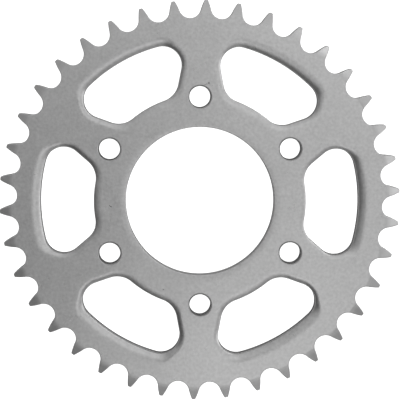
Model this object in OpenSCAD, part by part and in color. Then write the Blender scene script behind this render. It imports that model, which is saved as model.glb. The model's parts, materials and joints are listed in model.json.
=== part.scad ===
// Rear sprocket of a motorcycle, made from one steel plate.
// The origin is on the bore's axis, on the face that sits against the wheel hub.
// +Z points to the outer face, and all sizes are in millimetres.

/* [Chain] */
// Number of teeth
teeth = 38; // [36:1:60]
// Chain pitch, 12.7 for a 428 chain and 15.875 for a 520, 525 or 530 chain
chain_pitch = 12.7; // [12.7, 15.875]
// Diameter of the chain's rollers
roller_d = 8.51; // [7.75, 8.51, 10.16]

/* [Teeth] */
// Height of the tooth tips above the pitch circle
tip_h = 2.9; // [2.4:0.1:3.4]
// Angle that the arc of each roller seat covers
seat_angle = 142; // [130:1:146]
// Radius of the rounded tooth flanks above the roller seats
flank_r = 26; // [20:1:60]
// Angle that both sides of the teeth slope in towards the tips
relief_angle = 16; // [10:0.5:20]
// How far below the tips the sides begin to slope in
relief_h = 5.3; // [4:0.1:6]
// Length of the curve between the flat face and the slope
relief_blend = 2.4; // [1:0.1:3]
// Angle from +X to the middle of the first tooth
tooth_turn = 2.9; // [0:0.1:9.4]

/* [Plate] */
// Thickness of the plate
thickness = 7; // [5:0.5:9]
// Diameter of the centre bore
bore_d = 59; // [50:0.5:62]
// Bevel round both ends of the bore
bore_bevel = 0.5; // [0.2:0.1:1]

/* [Bolt holes] */
// Number of bolt holes, which is also the number of windows
bolts = 6; // [5:1:7]
// Diameter of the circle through the middles of the bolt holes
bolt_circle_d = 83; // [81:0.5:86]
// Diameter of a bolt hole
bolt_hole_d = 8.4; // [6:0.1:10.5]
// Bevel round both ends of a bolt hole
hole_bevel = 0.5; // [0.2:0.1:0.8]

/* [Windows] */
// Width of the rim between the tooth roots and the windows
rim_w = 9.3; // [8:0.1:10]
// Radius of the hub ring, where the windows begin
hub_ring_r = 42.2; // [40:0.1:43]
// Width of a spoke where it crosses the bolt circle
spoke_w = 19.7; // [18:0.1:22]
// Width of a spoke where its straight sides, drawn on, would meet the rim
spoke_rim_w = 11.4; // [8:0.1:16]
// Radius of a window's two corners at the rim
rim_corner_r = 7.5; // [5:0.1:8]
// Radius of a window's two corners at the hub ring
hub_corner_r = 8.7; // [5:0.1:9]
// Angle that the windows are turned from midway between two bolt holes
window_turn = -0.5; // [-1:0.1:1]

/* [Hidden] */
$fn = 96;
past = 1;             // how far a cutter runs past the face it cuts
flank_steps = 6;      // straight pieces in a tooth flank
relief_steps = 4;     // straight pieces in the curve where a tooth's side begins to slope
corner_steps = 20;    // straight pieces in a window corner
ring_steps = 24;      // straight pieces in a window's arcs along the rim and the hub ring

// Teeth, to the ISO 606 roller seat radius
tooth_step = 360 / teeth;
pitch_r = chain_pitch / 2 / sin(tooth_step / 2);
root_r = pitch_r - roller_d / 2;
tip_r = pitch_r + tip_h;
seat_r = 0.505 * roller_d + 0.069 * pow(roller_d, 1 / 3);
seat_centre = [root_r + seat_r, 0];
seat_end = 180 - seat_angle / 2;
flank_centre = seat_centre + (seat_r + flank_r) * [cos(seat_end), sin(seat_end)];

// Tooth sides: a curve that starts level with the face, then a straight slope past the tips
relief_start_r = tip_r - relief_h;
relief_arc_r = relief_blend / sin(relief_angle);
slope_l = relief_h - relief_blend + past;
past_tip_in = relief_arc_r * (1 - cos(relief_angle)) + slope_l * tan(relief_angle);

// Windows. Each is laid out along +X, and side is the spoke edge above it.
bolt_step = 360 / bolts;
bolt_circle_r = bolt_circle_d / 2;
window_rim_r = root_r - rim_w;
spoke_taper = atan((spoke_w - spoke_rim_w) / 2 / (window_rim_r - bolt_circle_r));
side_angle = bolt_step / 2 + spoke_taper;
side_along = [cos(side_angle), sin(side_angle)];
side_out = [-sin(side_angle), cos(side_angle)];
side_off = spoke_w / 2 * cos(spoke_taper) + bolt_circle_r * sin(spoke_taper);
rim_corner = corner_centre(window_rim_r - rim_corner_r, rim_corner_r);
hub_corner = corner_centre(hub_ring_r + hub_corner_r, hub_corner_r);

// Direction of a point from the origin
function bearing(point) = atan2(point.y, point.x);

// Middle of a corner of radius r that touches the spoke edge and lies reach from the origin
function corner_centre(reach, r) =
    let (off = side_off + r)
    sqrt(reach * reach - off * off) * side_along - off * side_out;

// Points along an arc, both ends included
function arc(centre, r, from, to, steps) =
    [for (i = [0 : steps]) let (a = from + (to - from) * i / steps) centre + r * [cos(a), sin(a)]];

// The same arc without its two end points, for use between arcs that have them
function arc_inside(centre, r, from, to, steps) =
    [for (i = [1 : steps - 1]) let (a = from + (to - from) * i / steps) centre + r * [cos(a), sin(a)]];

// The same points below the X axis, in the opposite order
function mirrored(points) = [for (i = [len(points) - 1 : -1 : 0]) [points[i].x, -points[i].y]];

// Angle on the flank circle where the flank leaves the tip circle
function flank_end() =
    let (reach = norm(flank_centre), r = tip_r + past)
    bearing(flank_centre) - acos((r * r - reach * reach - flank_r * flank_r) / (2 * flank_r * reach));

// Space between two teeth, along +X: a round seat for the roller and a flank to each side
module tooth_gap() {
    flank = arc(flank_centre, flank_r, seat_end - 180, flank_end(), flank_steps);
    translate(seat_centre) circle(r = seat_r);
    polygon(concat(mirrored(flank), flank));
}

// Window along +X between two spokes
module window() {
    rim_end = bearing(rim_corner);
    hub_end = bearing(hub_corner);
    rim_arc = arc_inside([0, 0], window_rim_r, -rim_end, rim_end, ring_steps);
    hub_arc = arc_inside([0, 0], hub_ring_r, hub_end, -hub_end, ring_steps);
    side = concat(
        arc(rim_corner, rim_corner_r, rim_end, side_angle + 90, corner_steps),
        arc(hub_corner, hub_corner_r, side_angle + 90, 180 + hub_end, corner_steps)
    );
    polygon(concat(rim_arc, side, hub_arc, mirrored(side)));
}

module plate_outline() {
    difference() {
        circle(r = tip_r);
        for (i = [0 : teeth - 1]) rotate(tooth_turn + (i + 0.5) * tooth_step) tooth_gap();
        for (i = [0 : bolts - 1]) rotate(window_turn + i * bolt_step) window();
    }
}

// Half section of the whole disc, with the sides of the rim sloping in to the tips
module disc_section() {
    centre = [relief_start_r, thickness - relief_arc_r];
    curve = arc(centre, relief_arc_r, 90, 90 - relief_angle, relief_steps);
    upper = concat([[0, thickness]], curve, [[tip_r + past, thickness - past_tip_in]]);
    lower = [for (i = [len(upper) - 1 : -1 : 0]) [upper[i].x, thickness - upper[i].y]];
    polygon(concat(upper, lower));
}

// Cutter for a straight hole with a bevel at each face
module bevelled_hole(d, bevel) {
    translate([0, 0, -past]) cylinder(d = d, h = thickness + 2 * past);
    translate([0, 0, -past]) cylinder(d1 = d + 2 * (bevel + past), d2 = d, h = bevel + past);
    translate([0, 0, thickness - bevel]) cylinder(d1 = d, d2 = d + 2 * (bevel + past), h = bevel + past);
}

module sprocket_plate() {
    color("darkgray") difference() {
        intersection() {
            translate([0, 0, -past]) linear_extrude(thickness + 2 * past) plate_outline();
            rotate_extrude() disc_section();
        }
        bevelled_hole(bore_d, bore_bevel);
        for (i = [0 : bolts - 1]) {
            rotate((i + 0.5) * bolt_step) translate([bolt_circle_r, 0, 0])
                bevelled_hole(bolt_hole_d, hole_bevel);
        }
    }
}

sprocket_plate();
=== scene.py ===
"""Looks and studio for a motorcycle's rear sprocket. All lengths are metres, in the CAD part's frame.

The visual plate is one closed mesh. Each edge of the outline is a loop of points with normals that point
into the metal. The edges are shaped by stepping in from the loop, and triangles fill the faces between.
"""
import json
import math
import random

import bpy
import numpy as np
from mathutils import Matrix, Vector
from mathutils.geometry import delaunay_2d_cdt


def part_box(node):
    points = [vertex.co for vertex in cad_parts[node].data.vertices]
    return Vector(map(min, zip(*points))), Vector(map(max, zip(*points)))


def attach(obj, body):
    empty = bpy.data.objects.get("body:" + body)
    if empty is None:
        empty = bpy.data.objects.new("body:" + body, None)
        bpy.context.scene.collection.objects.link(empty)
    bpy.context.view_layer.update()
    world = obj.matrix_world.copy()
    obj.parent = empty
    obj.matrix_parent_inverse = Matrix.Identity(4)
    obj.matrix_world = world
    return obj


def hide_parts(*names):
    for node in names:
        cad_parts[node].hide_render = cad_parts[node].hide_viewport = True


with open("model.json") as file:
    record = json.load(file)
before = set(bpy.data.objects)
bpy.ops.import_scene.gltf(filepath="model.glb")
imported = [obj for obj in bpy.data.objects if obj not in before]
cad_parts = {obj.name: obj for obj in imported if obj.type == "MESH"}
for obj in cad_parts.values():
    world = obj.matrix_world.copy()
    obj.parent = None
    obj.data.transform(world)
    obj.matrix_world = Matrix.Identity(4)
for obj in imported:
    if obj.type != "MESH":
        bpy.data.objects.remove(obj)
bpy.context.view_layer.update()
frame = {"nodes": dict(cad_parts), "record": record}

MM = 0.001

# ---------------------------------------------------------------- sizes from the frame

MOUNTS = {mount["name"]: mount["dims"] for mount in frame["record"]["mounts"]}
LOW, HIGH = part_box("sprocket_plate")
THICKNESS = HIGH.z - LOW.z
TIP_R = max(math.hypot(v.co.x, v.co.y) for v in frame["nodes"]["sprocket_plate"].data.vertices)
BORE_R = MOUNTS["hub_bore"]["r_mm"] * MM
BOLTS = MOUNTS["hub_bolts"]["count"]
BOLT_CIRCLE_R = MOUNTS["hub_bolts"]["pcd_mm"] * MM / 2
BOLT_HOLE_R = MOUNTS["hub_bolts"]["hole_r_mm"] * MM

# ---------------------------------------------------------------- outline sizes, as in the CAD source

TEETH = 38
CHAIN_PITCH = 12.7 * MM
ROLLER_D = 8.51 * MM
SEAT_ANGLE = math.radians(142)
FLANK_R = 26 * MM
TOOTH_TURN = math.radians(2.9)
RELIEF_ANGLE = math.radians(16)
RELIEF_H = 5.3 * MM
RELIEF_BLEND = 2.4 * MM
RIM_W = 9.3 * MM
HUB_RING_R = 42.2 * MM
SPOKE_W = 19.7 * MM
SPOKE_RIM_W = 11.4 * MM
RIM_CORNER_R = 7.5 * MM
HUB_CORNER_R = 8.7 * MM
WINDOW_TURN = math.radians(-0.5)

TOOTH_STEP = 2 * math.pi / TEETH
BOLT_STEP = 2 * math.pi / BOLTS
ROOT_R = CHAIN_PITCH / 2 / math.sin(TOOTH_STEP / 2) - ROLLER_D / 2
SEAT_R = 0.505 * ROLLER_D + 0.069 * (ROLLER_D / MM) ** (1 / 3) * MM
RELIEF_START_R = TIP_R - RELIEF_H
RELIEF_ARC_R = RELIEF_BLEND / math.sin(RELIEF_ANGLE)
WINDOW_RIM_R = ROOT_R - RIM_W

# ---------------------------------------------------------------- edges that only the visual plate has

TIP_ROUND = 0.45 * MM              # the two corners of a tooth's tip, seen from the front
TOOTH_BREAK = 0.2 * MM             # deburred edges of the teeth
BACK_BREAK = 0.3 * MM              # broken edges of the windows on the hub side
HOLE_BEVEL = 0.5 * MM
EDGE_MARGIN = 0.12 * MM            # level strip beside a sharp edge
WINDOW_LIP = 0.25 * MM             # quarter round at the very edge of a window
BORE_LIP = 0.3 * MM

# The punch draws the outer face down towards an opening: how far it drops, and how far from the edge.
RIM_SINK, RIM_REACH = 0.85 * MM, 4.2 * MM       # on a window's rim side
HUB_SINK, HUB_REACH = 0.36 * MM, 3.1 * MM       # on its hub side
SPOKE_SINK, SPOKE_REACH = 0.5 * MM, 2.4 * MM    # along the spokes
BORE_SINK, BORE_REACH = 0.12 * MM, 3.0 * MM
SINK_POWER = 2.3                   # 1 would make the sink a straight bevel

# A window's wall is smooth down to an uneven line, and torn below it.
BURNISHED = 3.0 * MM               # depth of the line below the face
TEAR_WAVE = 0.35 * MM              # how uneven the line is
TEAR_WAVES = (3, 7, 12, 21, 34)    # waves in the line round one window
TEAR_IN = 0.06 * MM                # how far the torn part stands back

# Straight pieces in the arcs and lines of the outlines
SEAT_STEPS = 14
FLANK_STEPS = 8
TIP_STEPS = 5
RIM_STEPS = 26
RIM_CORNER_STEPS = 26
SPOKE_STEPS = 8
HUB_CORNER_STEPS = 18
HUB_STEPS = 14
BORE_STEPS = 288
BOLT_HOLE_STEPS = 72
SINK_STEPS = 18


def quarter_round(width, steps):
    """[(step in from the wall, drop below the face), ...], wall first."""
    angles = [math.pi / 2 * i / steps for i in range(steps + 1)]
    return [(width * (1 - math.cos(a)), width * (1 - math.sin(a))) for a in angles]


def broken_edge(width, steps):
    """A quarter round and a narrow level margin, which keeps the smooth shading off the flat face."""
    return quarter_round(width, steps) + [(width + EDGE_MARGIN, 0)]


def sunk_edge(sink, reach, lip):
    """The same for a quarter round on a face that sinks towards the edge. Sink and reach may be arrays."""

    def sunk(step):
        return sink * np.clip(1 - step / reach, 0, 1) ** SINK_POWER

    profile = [(step, drop + sunk(step)) for step, drop in quarter_round(lip, 5)]
    end = np.max(reach) + EDGE_MARGIN
    for i in range(1, SINK_STEPS + 1):
        step = lip + (end - lip) * (i / SINK_STEPS) ** 1.4
        profile.append((step, sunk(step)))
    return profile


def bevel_edge(width):
    """The same for a straight 45 degree bevel with slightly softened corners."""
    soft = [(0, 1.04), (0.06, 0.9), (0.94, 0.06), (1.1, 0)]
    return [(width * step, width * drop) for step, drop in soft] + [(width * 1.1 + EDGE_MARGIN, 0)]


# ---------------------------------------------------------------- outline loops

def arc(centre, radius, start, end, steps, metal_outside):
    """Rows of x, y and the normal into the metal, from angle start to angle end, both ends included."""
    angles = np.linspace(start, end, steps + 1)
    out = np.c_[np.cos(angles), np.sin(angles)]
    return np.c_[np.asarray(centre) + radius * out, out if metal_outside else -out]


def turned(rows, angle):
    c, s = math.cos(angle), math.sin(angle)
    turn = np.array([[c, s], [-s, c]])
    return np.c_[rows[:, :2] @ turn, rows[:, 2:] @ turn]


def mirrored(rows, angle=0.0):
    """The rows reflected in the line at this angle through the origin, in the opposite order."""
    return turned(turned(rows, -angle)[::-1] * [1, -1, 1, -1], angle)


def bearing(point):
    return math.atan2(point[1], point[0])


def circle_loop(centre, radius, steps):
    return arc(centre, radius, 0, 2 * math.pi, steps, True)[:-1]


def tooth_loop():
    """The whole toothed outline, anticlockwise."""
    seat_centre = np.array([ROOT_R + SEAT_R, 0])
    seat_end = math.pi - SEAT_ANGLE / 2
    end_dir = np.array([math.cos(seat_end), math.sin(seat_end)])
    flank_centre = seat_centre + (SEAT_R + FLANK_R) * end_dir
    # The corner of the tip touches the flank and the tip circle from inside.
    reach, near, far = np.hypot(*flank_centre), FLANK_R - TIP_ROUND, TIP_R - TIP_ROUND
    along = (reach ** 2 + far ** 2 - near ** 2) / (2 * reach)
    across = math.sqrt(far ** 2 - along ** 2)
    unit = flank_centre / reach
    corner = along * unit + across * np.array([unit[1], -unit[0]])
    flank_end = bearing(corner - flank_centre)
    half = np.vstack([
        arc(seat_centre, SEAT_R, math.pi, seat_end, SEAT_STEPS, True),
        arc(flank_centre, FLANK_R, seat_end - math.pi, flank_end, FLANK_STEPS, False)[1:],
        arc(corner, TIP_ROUND, flank_end, bearing(corner), TIP_STEPS, False)[1:],
        arc((0, 0), TIP_R, bearing(corner), TOOTH_STEP / 2, 2, False)[1:],
    ])
    tooth = np.vstack([half, mirrored(half, TOOTH_STEP / 2)[1:-1]])
    first_gap = TOOTH_TURN + TOOTH_STEP / 2
    return np.vstack([turned(tooth, first_gap + i * TOOTH_STEP) for i in range(TEETH)])


def window_loop(index):
    """One window between two spokes."""
    taper = math.atan((SPOKE_W - SPOKE_RIM_W) / 2 / (WINDOW_RIM_R - BOLT_CIRCLE_R))
    side = BOLT_STEP / 2 + taper
    side_along = np.array([math.cos(side), math.sin(side)])
    side_out = np.array([-math.sin(side), math.cos(side)])
    side_off = SPOKE_W / 2 * math.cos(taper) + BOLT_CIRCLE_R * math.sin(taper)

    def corner_centre(reach, r):
        off = side_off + r
        return math.sqrt(reach ** 2 - off ** 2) * side_along - off * side_out

    rim_corner = corner_centre(WINDOW_RIM_R - RIM_CORNER_R, RIM_CORNER_R)
    hub_corner = corner_centre(HUB_RING_R + HUB_CORNER_R, HUB_CORNER_R)
    rim_end, hub_end, side_dir = bearing(rim_corner), bearing(hub_corner), side + math.pi / 2
    straight_start = rim_corner + RIM_CORNER_R * side_out
    straight_end = hub_corner + HUB_CORNER_R * side_out
    shares = np.linspace(0, 1, SPOKE_STEPS + 1)[1:-1, None]
    straight_xy = straight_start + (straight_end - straight_start) * shares
    half = np.vstack([
        arc((0, 0), WINDOW_RIM_R, 0, rim_end, RIM_STEPS, True),
        arc(rim_corner, RIM_CORNER_R, rim_end, side_dir, RIM_CORNER_STEPS, True)[1:],
        np.c_[straight_xy, np.tile(side_out, (len(shares), 1))],
        arc(hub_corner, HUB_CORNER_R, side_dir, math.pi + hub_end, HUB_CORNER_STEPS, True),
        arc((0, 0), HUB_RING_R, hub_end, 0, HUB_STEPS, False)[1:],
    ])
    return turned(np.vstack([half, mirrored(half)[1:-1]]), WINDOW_TURN + index * BOLT_STEP)


# ---------------------------------------------------------------- the plate's mesh

FACE, TOOTH_SIDE, TOOTH_GAP, SHEARED_WALL, BORED_WALL = range(5)


def relief(r):
    """How far each side of the teeth has sloped in at this distance from the axis."""
    out = np.clip(np.asarray(r) - RELIEF_START_R, 0, None)
    curved = np.minimum(out, RELIEF_BLEND)
    return RELIEF_ARC_R - np.sqrt(RELIEF_ARC_R ** 2 - curved ** 2) + (out - curved) * math.tan(RELIEF_ANGLE)


class PlateMesh:
    """Collects the plate's vertices and faces."""

    def __init__(self):
        self.points, self.faces, self.zones = [], [], []

    def add_points(self, xy, z):
        first = len(self.points)
        self.points += [(x, y, h) for (x, y), h in zip(xy, np.broadcast_to(z, len(xy)))]
        return list(range(first, len(self.points)))

    def add_face(self, corners, zone):
        self.faces.append(corners)
        self.zones.append(zone)

    def add_band(self, upper, lower, zone, flip=False):
        """Quads between two closed rings of the same length."""
        for i in range(len(upper)):
            j = (i + 1) % len(upper)
            quad = (upper[i], lower[i], lower[j], upper[j])
            self.add_face(quad[::-1] if flip else quad, zone)


def face_height(xy, front):
    """Height of the front or back face, with the sloping sides of the teeth."""
    inward = relief(np.hypot(xy[:, 0], xy[:, 1]))
    return THICKNESS - inward if front else inward


def add_rings(mesh, loop, profile, front, zone):
    """The rings of one rounded edge, wall first, joined by bands."""
    rings = []
    for step, drop in profile:
        at = loop[:, :2] + loop[:, 2:] * step
        side = face_height(at, front)
        rings.append(mesh.add_points(at, side - drop if front else side + drop))
    for inner, outer in zip(rings[1:], rings):
        mesh.add_band(inner, outer, zone, flip=not front)
    return rings


def add_wall(mesh, loop, top, bottom, zone, steps=6):
    """A plain wall from the top ring to the bottom ring."""
    high = np.array([mesh.points[i][2] for i in top])
    low = np.array([mesh.points[i][2] for i in bottom])
    above = top
    for k in range(1, steps):
        here = mesh.add_points(loop[:, :2], high + (low - high) * k / steps)
        mesh.add_band(above, here, zone)
        above = here
    mesh.add_band(above, bottom, zone)


def add_torn_wall(mesh, loop, top, bottom, seed):
    """A window's wall: smooth below the face, then torn down to the back, along an uneven line."""
    rng = random.Random(seed)
    high = np.array([mesh.points[i][2] for i in top])
    low = np.array([mesh.points[i][2] for i in bottom])
    turn = np.linspace(0, 2 * math.pi, len(loop), endpoint=False)
    line = np.full(len(loop), THICKNESS - BURNISHED)
    for waves in TEAR_WAVES:
        line += TEAR_WAVE / waves ** 0.5 * np.sin(waves * turn + rng.uniform(0, 2 * math.pi))
    line = np.minimum(line, high - 0.3 * MM)
    rows = [((high * 2 + line) / 3, 0), ((high + line * 2) / 3, 0), (line, 0)]
    for share in (0.06, 0.25, 0.45, 0.65, 0.85):
        back_off = [TEAR_IN * rng.uniform(0.6, 1.4) for _ in range(len(loop))]
        rows.append((line + (low - line) * share, np.array(back_off)))
    above = top
    for z, back_off in rows:
        here = mesh.add_points(loop[:, :2] + loop[:, 2:] * np.reshape(back_off, (-1, 1)), z)
        mesh.add_band(above, here, SHEARED_WALL)
        above = here
    mesh.add_band(above, bottom, SHEARED_WALL)


def inside(points, loop):
    """Which points lie inside a closed loop."""
    x, y = points[:, 0], points[:, 1]
    result = np.zeros(len(points), bool)
    for (x0, y0), (x1, y1) in zip(loop, np.roll(loop, -1, axis=0)):
        if y0 != y1:
            crosses = (y0 > y) != (y1 > y)
            result ^= crosses & (x < x0 + (y - y0) * (x1 - x0) / (y1 - y0))
    return result


def clearance(points, loop):
    """Distance from each point to the nearest point of a loop."""
    near = np.full(len(points), np.inf)
    batch = 400
    for start in range(0, len(loop), batch):
        part = loop[start:start + batch]
        gap = np.hypot(points[:, None, 0] - part[None, :, 0], points[:, None, 1] - part[None, :, 1])
        near = np.minimum(near, gap.min(axis=1))
    return near


def ring_points(radius, spacing):
    count = round(2 * math.pi * radius / spacing)
    angles = np.arange(count) * 2 * math.pi / count
    return np.c_[np.cos(angles), np.sin(angles)] * radius


def inside_points(outlines):
    """Extra points for a face: rings across the teeth and just inside them, a loose grid on the flat."""
    rng = random.Random(TEETH)
    tooth_rows = [RELIEF_START_R + RELIEF_BLEND * k / 7 for k in range(8)]
    tooth_rows += [RELIEF_START_R + RELIEF_BLEND + step * MM for step in (0.35, 0.9, 1.6, 2.3)]
    flat_rows = [RELIEF_START_R - step * MM for step in (0.25, 0.7, 1.4)]
    points = [ring_points(r, 0.42 * MM) for r in tooth_rows]
    points += [ring_points(r, 0.8 * MM) for r in flat_rows]
    spacing = 2.6 * MM
    count = int(RELIEF_START_R / spacing) + 1
    grid, shake = [], 0.15
    for i in range(-count, count + 1):
        for j in range(-count, count + 1):
            x = (i + 0.5 * (j % 2) + rng.uniform(-shake, shake)) * spacing
            y = (j * 0.87 + rng.uniform(-shake, shake)) * spacing
            if math.hypot(x, y) < RELIEF_START_R - 2.5 * MM:
                grid.append((x, y))
    points = np.vstack(points + [grid])
    keep = inside(points, outlines[0])
    for hole in outlines[1:]:
        keep &= ~inside(points, hole)
    for loop in outlines:
        keep &= clearance(points, loop) > 0.16 * MM
    return points[keep]


def fill_face(mesh, rings, front):
    """Triangulates a face between its outer ring and the rings round its holes."""
    outlines = [np.array([mesh.points[i][:2] for i in ring]) for ring in rings]
    extra = inside_points(outlines)
    index = [i for ring in rings for i in ring] + mesh.add_points(extra, face_height(extra, front))
    xy = np.vstack(outlines + [extra])
    edges, base = [], 0
    for ring in rings:
        edges += [(base + k, base + (k + 1) % len(ring)) for k in range(len(ring))]
        base += len(ring)
    found = delaunay_2d_cdt([Vector(p) for p in xy], edges, [], 0, 1e-9, True)
    triangles = np.array([[found[3][i][0] for i in corners] for corners in found[2]])
    a, b, c = xy[triangles[:, 0]], xy[triangles[:, 1]], xy[triangles[:, 2]]
    centres = (a + b + c) / 3
    keep = inside(centres, outlines[0])
    for hole in outlines[1:]:
        keep &= ~inside(centres, hole)
    turns_left = (b[:, 0] - a[:, 0]) * (c[:, 1] - a[:, 1]) > (b[:, 1] - a[:, 1]) * (c[:, 0] - a[:, 0])
    on_tooth = np.hypot(centres[:, 0], centres[:, 1]) > RELIEF_START_R
    for corners, left, tooth in zip(triangles[keep], turns_left[keep], on_tooth[keep]):
        corners = [index[i] for i in corners]
        mesh.add_face(corners if left == front else corners[::-1], TOOTH_SIDE if tooth else FACE)


def window_profile(loop):
    """The front edge of a window. The punch has drawn it in most along the rim, and least at the hub."""
    outward = loop[:, :2] / np.hypot(loop[:, 0], loop[:, 1])[:, None]
    facing_out = (outward * loop[:, 2:]).sum(axis=1)
    rim, hub = smooth_ramp(facing_out, 0.7, 1), smooth_ramp(-facing_out, 0.2, 1)
    sink = SPOKE_SINK + (RIM_SINK - SPOKE_SINK) * rim + (HUB_SINK - SPOKE_SINK) * hub
    reach = SPOKE_REACH + (RIM_REACH - SPOKE_REACH) * rim + (HUB_REACH - SPOKE_REACH) * hub
    return sunk_edge(sink, reach, WINDOW_LIP)


def smooth_ramp(x, low, high):
    t = np.clip((x - low) / (high - low), 0, 1)
    return t * t * (3 - 2 * t)


def add_hole(mesh, loop, front_profile, back_profile, edge_zone):
    """A bored hole through the plate. Returns its innermost front and back rings."""
    front = add_rings(mesh, loop, front_profile, True, edge_zone)
    back = add_rings(mesh, loop, back_profile, False, BORED_WALL)
    add_wall(mesh, loop, front[0], back[0], BORED_WALL)
    return front[-1], back[-1]


def add_window(mesh, index):
    loop = window_loop(index)
    front = add_rings(mesh, loop, window_profile(loop), True, FACE)
    back = add_rings(mesh, loop, broken_edge(BACK_BREAK, 4), False, FACE)
    add_torn_wall(mesh, loop, front[0], back[0], seed=index)
    return front[-1], back[-1]


def add_teeth(mesh):
    loop, edge = tooth_loop(), broken_edge(TOOTH_BREAK, 3)
    front = add_rings(mesh, loop, edge, True, TOOTH_SIDE)
    back = add_rings(mesh, loop, edge, False, TOOTH_SIDE)
    add_wall(mesh, loop, front[0], back[0], TOOTH_GAP)
    return front[-1], back[-1]


def plate_object():
    """The sprocket as one closed mesh with real edges."""
    mesh = PlateMesh()
    rings = [add_teeth(mesh)]
    bore, bore_edge = circle_loop((0, 0), BORE_R, BORE_STEPS), sunk_edge(BORE_SINK, BORE_REACH, BORE_LIP)
    bevel = bevel_edge(HOLE_BEVEL)
    rings.append(add_hole(mesh, bore, bore_edge, bevel, FACE))
    for i in range(BOLTS):
        rings.append(add_window(mesh, i))
        a = (i + 0.5) * BOLT_STEP
        centre = (BOLT_CIRCLE_R * math.cos(a), BOLT_CIRCLE_R * math.sin(a))
        hole = circle_loop(centre, BOLT_HOLE_R, BOLT_HOLE_STEPS)
        rings.append(add_hole(mesh, hole, bevel, bevel, BORED_WALL))
    fill_face(mesh, [front for front, _ in rings], True)
    fill_face(mesh, [back for _, back in rings], False)

    data = bpy.data.meshes.new("sprocket_plate_steel")
    data.from_pydata(mesh.points, [], mesh.faces)
    data.polygons.foreach_set("material_index", mesh.zones)
    data.shade_smooth()
    data.set_sharp_from_angle(angle=math.radians(38))
    data.update()
    plate = bpy.data.objects.new("sprocket_plate_steel", data)
    bpy.context.scene.collection.objects.link(plate)
    return plate


# ---------------------------------------------------------------- materials

class Nodes:
    """Short names for building the nodes of a material, a world or a lamp."""

    def __init__(self, owner):
        owner.use_nodes = True
        self.owner = owner
        self.tree = owner.node_tree
        self.tree.nodes.clear()

    def new(self, kind, **inputs):
        node = self.tree.nodes.new(kind)
        for name, value in inputs.items():
            self.plug(node.inputs[name.replace("_", " ")], value)
        return node

    def plug(self, socket, value):
        if isinstance(value, bpy.types.NodeSocket):
            self.tree.links.new(value, socket)
        else:
            socket.default_value = value

    def math(self, operation, a, b=0.0):
        node = self.new("ShaderNodeMath")
        node.operation = operation
        self.plug(node.inputs[0], a)
        self.plug(node.inputs[1], b)
        return node.outputs["Value"]

    def add(self, *terms):
        total = terms[0]
        for term in terms[1:]:
            total = self.math("ADD", total, term)
        return total

    def times(self, a, b):
        return self.math("MULTIPLY", a, b)

    def vector(self, operation, a, b=(0, 0, 0)):
        """A sum on two vectors that gives one number."""
        node = self.new("ShaderNodeVectorMath")
        node.operation = operation
        self.plug(node.inputs[0], a)
        self.plug(node.inputs[1], b)
        return node.outputs["Value"]

    def ramp(self, value, low, high, start=0.0, end=1.0, shape="SMOOTHSTEP"):
        """Goes from start to end as the value goes from low to high, and stays level beyond them."""
        node = self.new("ShaderNodeMapRange", Value=value, From_Min=low, From_Max=high,
                        To_Min=start, To_Max=end)
        node.interpolation_type = shape
        return node.outputs["Result"]

    def seen(self, value):
        """The value for what the camera sees, and 0 for what is mirrored or lit."""
        return self.times(self.new("ShaderNodeLightPath").outputs["Is Camera Ray"], value)


class Metal(Nodes):
    """One metal surface."""

    def __init__(self, name):
        super().__init__(bpy.data.materials.new(name))
        self.place = self.new("ShaderNodeTexCoord").outputs["Object"]

    def noise(self, size, detail=1.0, place=None):
        """Noise about zero, from -1 to 1, with grains of about this size in metres."""
        node = self.new("ShaderNodeTexNoise", Vector=place or self.place, Scale=0.5 / size, Detail=detail)
        return self.times(self.math("SUBTRACT", node.outputs["Fac"], 0.5), 2.0)

    def polar(self, around, outward, along):
        """A place whose grains are stretched by these factors round the axis, away from it and along it."""
        x, y, z = self.new("ShaderNodeSeparateXYZ", Vector=self.place).outputs
        radius = self.math("SQRT", self.add(self.times(x, x), self.times(y, y)))
        arc_length = self.times(self.math("ARCTAN2", y, x), ROOT_R)
        joined = self.new("ShaderNodeCombineXYZ", X=self.times(arc_length, 1 / around),
                          Y=self.times(radius, 1 / outward), Z=self.times(z, 1 / along))
        return joined.outputs["Vector"]

    def stretched(self, x, y, z):
        """A place scaled by these factors, so that grains are longer where the factor is small."""
        return self.new("ShaderNodeMapping", Vector=self.place, Scale=(x, y, z)).outputs["Vector"]

    def dent(self, x, y, radius):
        """1 in the middle of a small round dent in the outer face, 0 outside it."""
        return self.ramp(self.vector("DISTANCE", self.place, (x, y, THICKNESS)), radius, 0)

    def grey(self, value):
        return self.new("ShaderNodeCombineColor", Red=value, Green=value, Blue=value).outputs["Color"]

    def metal(self, value, roughness, bumps, turned_rings=0.0):
        """Finishes the material. bumps holds (height from -1 to 1, size of that height in metres).

        turned_rings spreads the gloss away from the axis, as fine rings from a lathe do.
        """
        normal = None
        for height, size in bumps:
            bump = self.new("ShaderNodeBump", Height=height, Distance=size)
            if normal is not None:
                self.plug(bump.inputs["Normal"], normal)
            normal = bump.outputs["Normal"]
        shader = self.new("ShaderNodeBsdfPrincipled", Metallic=1.0, Roughness=roughness)
        self.plug(shader.inputs["Base Color"], self.grey(value))
        self.plug(shader.inputs["Normal"], normal)
        if turned_rings:
            tangent = self.new("ShaderNodeTangent")
            tangent.direction_type, tangent.axis = "RADIAL", "Z"
            self.plug(shader.inputs["Tangent"], tangent.outputs["Tangent"])
            shader.inputs["Anisotropic"].default_value = turned_rings
            shader.inputs["Anisotropic Rotation"].default_value = 0.25
        out = self.new("ShaderNodeOutputMaterial")
        self.plug(out.inputs["Surface"], shader.outputs["BSDF"])
        return self.owner


# Handling dents in the outer face: x, y and radius in mm. The first three make one short scratch.
DENTS = [
    (3.45, 46.9, 0.6), (2.7, 46.5, 0.35), (2.0, 46.35, 0.3),
    (-35.45, -2.1, 0.5), (-35.95, -1.75, 0.35), (-14.7, -35.3, 0.35),
]


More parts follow.
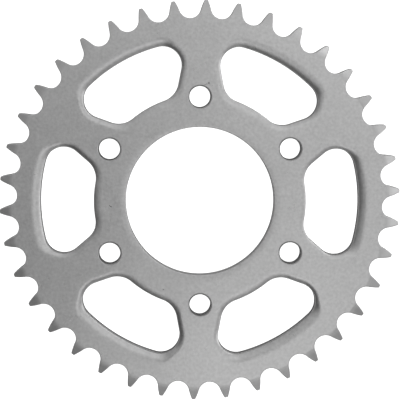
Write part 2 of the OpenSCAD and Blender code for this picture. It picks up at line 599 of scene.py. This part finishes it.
def blasted_face():
    """Bead-blasted steel plate: fine even grain, soft cloudy patches."""
    n = Metal("blasted_face")
    cloud, patch = n.noise(16 * MM, 2), n.noise(3.5 * MM, 2)
    grain, dust = n.noise(0.6 * MM, 1.5), n.noise(0.3 * MM)
    dents = n.add(*[n.dent(x * MM, y * MM, radius * MM) for x, y, radius in DENTS])
    steel = n.add(0.6, n.times(cloud, 0.05), n.times(patch, 0.035), n.times(grain, 0.11))
    # The dents are also darker in colour, down to a quarter of the steel's value in their middle.
    value = n.times(steel, n.math("SUBTRACT", 1.0, n.times(dents, 0.75)))
    roughness = n.add(0.3, n.times(patch, 0.03), n.times(dust, 0.04))
    return n.metal(value, roughness, [(grain, 0.010 * MM), (dust, 0.003 * MM), (dents, -0.05 * MM)])


def turned_tooth_side():
    """Sides of the teeth, turned on a lathe: rings round the axis, and radial streaks with small bumps and
    painted sheen and shade in the colour.
    """
    n = Metal("turned_tooth_side")
    rings_at = n.polar(around=12, outward=1, along=1)
    streaks_at = n.polar(around=1, outward=9, along=9)
    rings, streaks = n.noise(0.22 * MM, 1, rings_at), n.noise(0.9 * MM, 1, streaks_at)
    # The radial streaks lighten and darken the colour: painted sheen and shade, where the gloss of the
    # turned rings spreads across them. Their bumps are real.
    value = n.add(0.62, n.times(rings, 0.04), n.times(streaks, 0.07))
    bumps = [(rings, 0.002 * MM), (streaks, 0.006 * MM)]
    return n.metal(value, n.add(0.36, n.times(streaks, 0.03)), bumps, turned_rings=0.85)


def milled_tooth_gap():
    """Flanks and roller seats, cut by a hob: fine marks along the edge of the plate."""
    n = Metal("milled_tooth_gap")
    marks_at = n.polar(around=8, outward=8, along=0.6)
    marks, grain = n.noise(0.35 * MM, 1, marks_at), n.noise(0.5 * MM)
    value = n.add(0.5, n.times(marks, 0.06), n.times(grain, 0.04))
    return n.metal(value, n.add(0.34, n.times(grain, 0.05)), [(marks, 0.006 * MM)])


def sheared_wall():
    """Punched window wall: a smooth burnished band under the face, and torn metal below it."""
    n = Metal("sheared_wall")
    streaks, tear = n.noise(0.35 * MM, 2, n.stretched(1, 1, 0.06)), n.noise(0.45 * MM, 3)
    z = n.new("ShaderNodeSeparateXYZ", Vector=n.place).outputs["Z"]
    line, blur = THICKNESS - BURNISHED, 0.25 * MM
    smooth = n.ramp(z, line - blur, line + blur, shape="LINEAR")
    torn = n.math("SUBTRACT", 1.0, smooth)
    pits = n.times(tear, torn)
    value = n.add(0.3, n.times(smooth, 0.4), n.times(streaks, 0.07), n.times(pits, 0.12))
    roughness = n.add(0.3, n.times(torn, 0.25), n.times(streaks, 0.04))
    return n.metal(value, roughness, [(pits, 0.05 * MM), (streaks, 0.012 * MM)])


def bored_wall():
    """Bore and bolt holes: fine turning rings, one above the other."""
    n = Metal("bored_wall")
    rings, grain = n.noise(0.12 * MM, 1, n.stretched(0.08, 0.08, 1)), n.noise(0.5 * MM)
    value = n.add(0.45, n.times(rings, 0.06), n.times(grain, 0.03))
    return n.metal(value, n.add(0.3, n.times(grain, 0.04)), [(rings, 0.004 * MM)])


# ---------------------------------------------------------------- build

plate = plate_object()
for material in (blasted_face(), turned_tooth_side(), milled_tooth_gap(), sheared_wall(), bored_wall()):
    plate.data.materials.append(material)
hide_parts("sprocket_plate")
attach(plate, "root")

# ---------------------------------------------------------------- studio

CENTRE = Vector((0, 0, THICKNESS / 2))
BACKDROP = 0.9    # brightness of the backdrop, which the floor fades into far from the sprocket

# What the metal mirrors of the room, as (sine of the height over the horizon, brightness): a strip of
# pale wall all round, which is darker down at the floor, and a dark ceiling.
ROOM = [(0.0, 0.07), (0.2, 0.45), (0.45, 0.45), (0.65, 0.07)]


def softbox(name, azimuth, off_axis, radius, brightness, distance=0.8):
    """A round light that fades out to its rim.

    The angles are in degrees: azimuth round +Z from +X, off_axis away from +Z, and radius as seen from
    the sprocket. The brightness is that of its middle.
    """
    a, off = math.radians(azimuth), math.radians(off_axis)
    direction = Vector((math.sin(off) * math.cos(a), math.sin(off) * math.sin(a), math.cos(off)))
    lamp = bpy.data.lights.new(name, "AREA")
    lamp.shape = "DISK"
    lamp.size = 2 * distance * math.tan(math.radians(radius))
    lamp.energy = brightness * math.pi * math.pi * (lamp.size / 2) ** 2
    fade_to_rim(lamp)
    light = bpy.data.objects.new(name, lamp)
    light.location = CENTRE + direction * distance
    light.rotation_mode = "QUATERNION"
    light.rotation_quaternion = direction.to_track_quat("Z", "Y")
    light.visible_camera = False
    bpy.context.scene.collection.objects.link(light)


def fade_to_rim(lamp):
    """Gives the lamp a strength of (1 - t * t) ** 2, where t is 0 in its middle and 1 at its rim."""
    n = Nodes(lamp)
    on_lamp = n.new("ShaderNodeNewGeometry").outputs["Parametric"]
    t = n.times(n.vector("DISTANCE", on_lamp, (0.5, 0.5, 0)), 2.0)
    left = n.math("MAXIMUM", n.math("SUBTRACT", 1.0, n.times(t, t)), 0.0)
    light = n.new("ShaderNodeEmission", Strength=n.times(left, left))
    n.plug(n.new("ShaderNodeOutputLight").inputs["Surface"], light.outputs["Emission"])


def pale_floor():
    """A pale sheet, over-exposed when seen from straight above, with soft shadows from the side."""
    size, z = 3.0, -0.05 * MM
    corners = [(-size, -size, z), (size, -size, z), (size, size, z), (-size, size, z)]
    data = bpy.data.meshes.new("floor")
    data.from_pydata(corners, [], [(0, 1, 2, 3)])
    sheet = bpy.data.objects.new("floor", data)
    bpy.context.scene.collection.objects.link(sheet)
    data.materials.append(paper())
    return sheet


def paper():
    """White paper. For the camera it glows, most when seen straight on, and far out it is the backdrop."""
    n = Nodes(bpy.data.materials.new("paper"))
    geometry = n.new("ShaderNodeNewGeometry").outputs
    facing = n.vector("DOT_PRODUCT", geometry["Incoming"], geometry["Normal"])
    glow = n.new("ShaderNodeEmission", Strength=n.seen(n.ramp(facing, 0.8, 0.97, 0.45, 1.1)))
    white = n.new("ShaderNodeBsdfDiffuse", Color=(0.8, 0.8, 0.8, 1))
    near = n.new("ShaderNodeAddShader")
    n.plug(near.inputs[0], glow.outputs["Emission"])
    n.plug(near.inputs[1], white.outputs["BSDF"])
    far = n.ramp(n.vector("LENGTH", geometry["Position"]), 0.25, 1.3)
    blend = n.new("ShaderNodeMixShader", Fac=n.seen(far))
    n.plug(blend.inputs[1], near.outputs["Shader"])
    n.plug(blend.inputs[2], n.new("ShaderNodeEmission", Strength=BACKDROP).outputs["Emission"])
    n.plug(n.new("ShaderNodeOutputMaterial").inputs["Surface"], blend.outputs["Shader"])
    return n.owner


def pale_world():
    """The backdrop for the camera, and the faint light of the room for everything else."""
    bpy.context.scene.world = bpy.data.worlds.new("studio")
    n = Nodes(bpy.context.scene.world)
    direction = n.new("ShaderNodeTexCoord").outputs["Generated"]
    height = n.new("ShaderNodeSeparateXYZ", Vector=direction).outputs["Z"]
    room = n.new("ShaderNodeValToRGB", Fac=height)
    stops = room.color_ramp.elements
    for _ in ROOM[2:]:
        stops.new(1.0)
    for stop, (at, brightness) in zip(stops, ROOM):
        stop.position = at
        stop.color = (brightness, brightness, brightness, 1)
    camera_ray = n.new("ShaderNodeLightPath").outputs["Is Camera Ray"]
    level = n.ramp(camera_ray, 0, 1, room.outputs["Color"], BACKDROP, shape="LINEAR")
    light = n.new("ShaderNodeBackground", Color=(1, 1, 1, 1), Strength=level)
    n.plug(n.new("ShaderNodeOutputWorld").inputs["Surface"], light.outputs["Background"])


def photo_camera():
    """Almost straight above the outer face, a little towards the top left."""
    camera = bpy.data.objects.new("camera", bpy.data.cameras.new("camera"))
    bpy.context.scene.collection.objects.link(camera)
    camera.data.sensor_width = 36
    camera.data.lens = 177.2
    camera.data.clip_start, camera.data.clip_end = 0.01, 20
    eye = Vector((-0.01856, 0.06044, THICKNESS + 0.78))
    aim = Vector((0, 0.0005, THICKNESS))
    back = (eye - aim).normalized()
    right = Vector((0, 1, 0)).cross(back).normalized()
    turn = Matrix((right, back.cross(right), back)).transposed()
    camera.matrix_world = Matrix.Translation(eye) @ turn.to_4x4()
    bpy.context.scene.camera = camera


pale_floor()
pale_world()
softbox("top_wide", 90, 42, 45, 0.54)
softbox("top_left_near", 165, 18, 14, 0.5)
softbox("left_wide", 150, 48, 32, 0.16)
softbox("bottom_near", 275, 18, 14, 1.22)
softbox("bottom_wide", 285, 54, 32, 0.35)
softbox("bottom_right_near", 320, 18, 14, 0.3)
softbox("right_near", 60, 12, 14, 0.5)
softbox("right_close", 0, 12, 14, 0.25)
softbox("right_wide", 15, 24, 45, 0.41)
softbox("right_low", 0, 54, 32, 1.2)
softbox("top_right_low", 45, 54, 14, 3.2)
photo_camera()
bpy.context.scene.view_settings.view_transform = "Standard"
